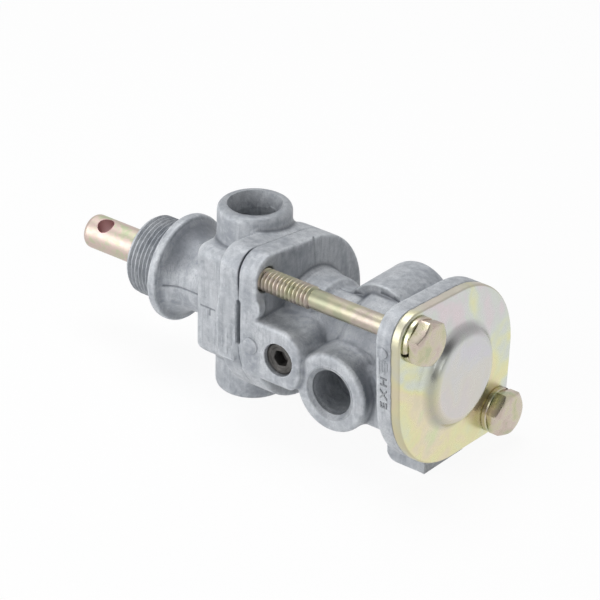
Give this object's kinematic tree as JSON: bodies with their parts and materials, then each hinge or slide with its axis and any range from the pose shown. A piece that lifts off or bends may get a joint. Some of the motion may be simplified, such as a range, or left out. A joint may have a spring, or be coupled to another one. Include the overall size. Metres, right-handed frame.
{
  "type": "push-pull air control valve",
  "caption": "Panel-mounted push-pull air valve: threaded neck, sliding plunger, two in-line bodies with tapped ports, long cap screws and a domed end cover.",
  "frame": {"origin": "on the plunger axis, in the collar face that meets the panel", "axes": "+X along the plunger from its knob end to the end cover (push direction), -Y out of the exhaust port, +Z out of the supply port"},
  "size_m": [0.1283, 0.049, 0.0536],
  "materials": {
    "cast_metal": "as-cast, matt grey",
    "zinc_plate": "yellow zinc plating with pink and green tints",
    "zinc_screw": "yellow zinc plating, glossy",
    "zinc_rod": "yellow zinc plating, turned",
    "steel_plain": "plain steel",
    "spring_steel": "drawn wire",
    "plug_steel": "dark oxide",
    "piston_metal": "machined",
    "brass_seat": "machined",
    "rubber_black": "moulded rubber"
  },
  "bodies": {
    "housing": {"upper_body": "cast_metal", "lower_body": "cast_metal", "end_cover": "zinc_plate", "cap_screw_upper": "zinc_screw", "cap_screw_lower": "zinc_screw", "lock_washer_upper": "zinc_screw", "lock_washer_lower": "zinc_screw", "stem_wiper": "rubber_black", "stem_seal_ring": "rubber_black", "exhaust_seat": "brass_seat", "joint_seal_ring": "rubber_black", "plunger_spring": "spring_steel", "piston_spring": "spring_steel", "cover_seal_ring": "rubber_black", "side_plug": "plug_steel"},
    "push_rod": {"plunger": "zinc_rod", "valve_disc": "rubber_black", "valve_washer": "steel_plain", "valve_nut": "steel_plain", "spring_plate": "steel_plain", "tail_nut": "steel_plain"},
    "tripper": {"tripper_piston": "piston_metal", "piston_seal_ring": "rubber_black"}
  },
  "joints": [
    {"name": "plunger_slide", "type": "slide", "parent": "housing", "child": "push_rod", "axis": [1, 0, 0], "range_m": [0, 0.0063], "stiffness_N_per_m": 2000, "springref_m": -0.0075, "deforming": ["plunger_spring"]},
    {"name": "tripper_slide", "type": "slide", "parent": "housing", "child": "tripper", "axis": [-1, 0, 0], "range_m": [0, 0.0012], "stiffness_N_per_m": 600, "springref_m": -0.006, "deforming": ["piston_spring"]}
  ]
}
